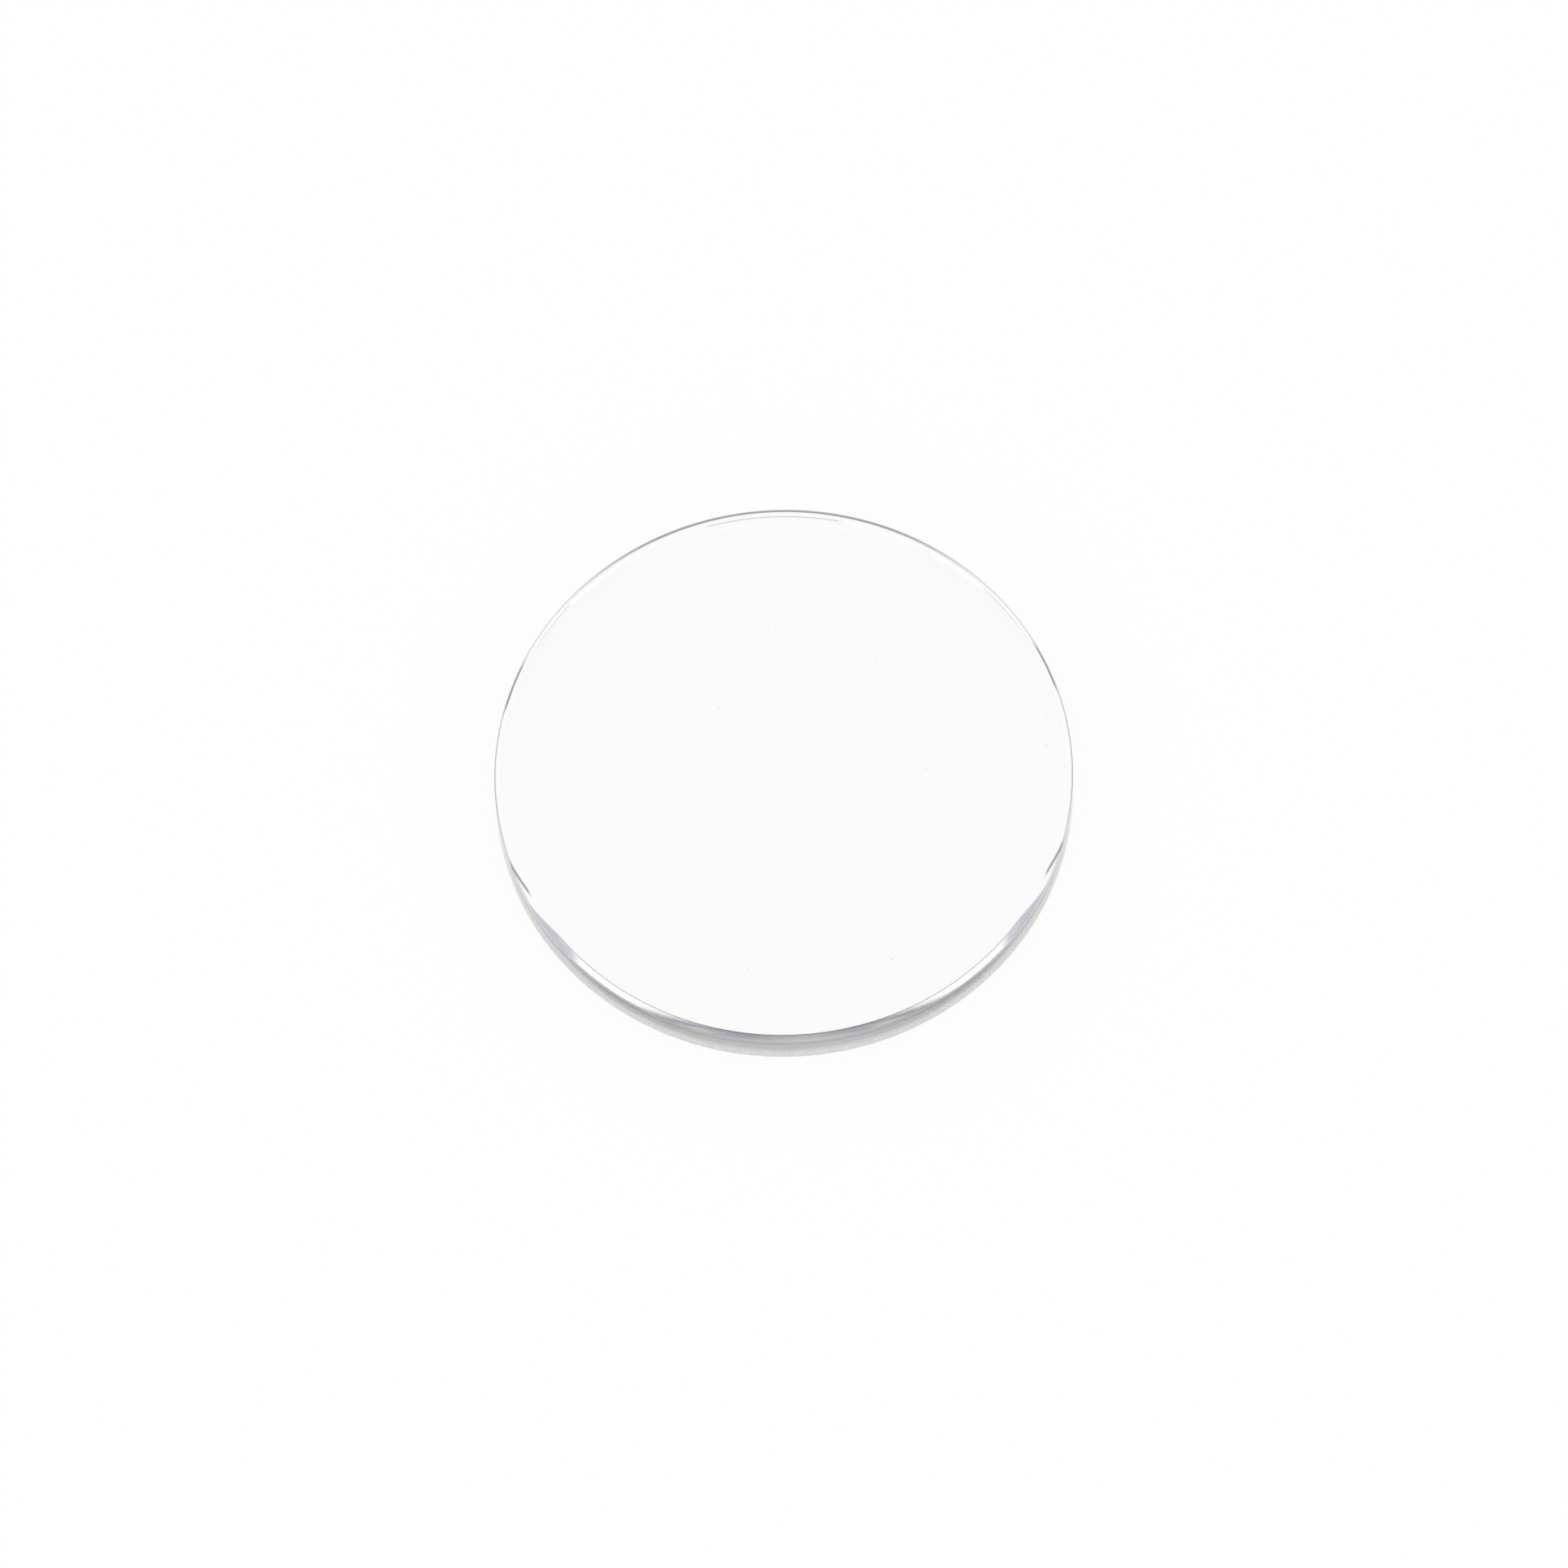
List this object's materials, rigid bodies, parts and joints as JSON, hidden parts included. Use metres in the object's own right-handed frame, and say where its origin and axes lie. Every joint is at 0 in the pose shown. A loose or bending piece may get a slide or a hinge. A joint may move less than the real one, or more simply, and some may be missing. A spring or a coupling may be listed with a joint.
{
  "type": "watch crystal",
  "caption": "Flat round watch glass with a polished bevel round its top face, a small one round its underside, and a fine-ground rim that presses into a watch case.",
  "frame": {"origin": "centre of the underside, the flat face that seats in the watch case", "axes": "+Z along the crystal's axis, from the underside towards the face that is looked through; X and Y are across the glass"},
  "size_m": [0.0315, 0.0314, 0.0025],
  "materials": {
    "glass": "polished faces and bevels, fine-ground rim"
  },
  "bodies": {
    "root": {"crystal": "glass"}
  },
  "joints": []
}
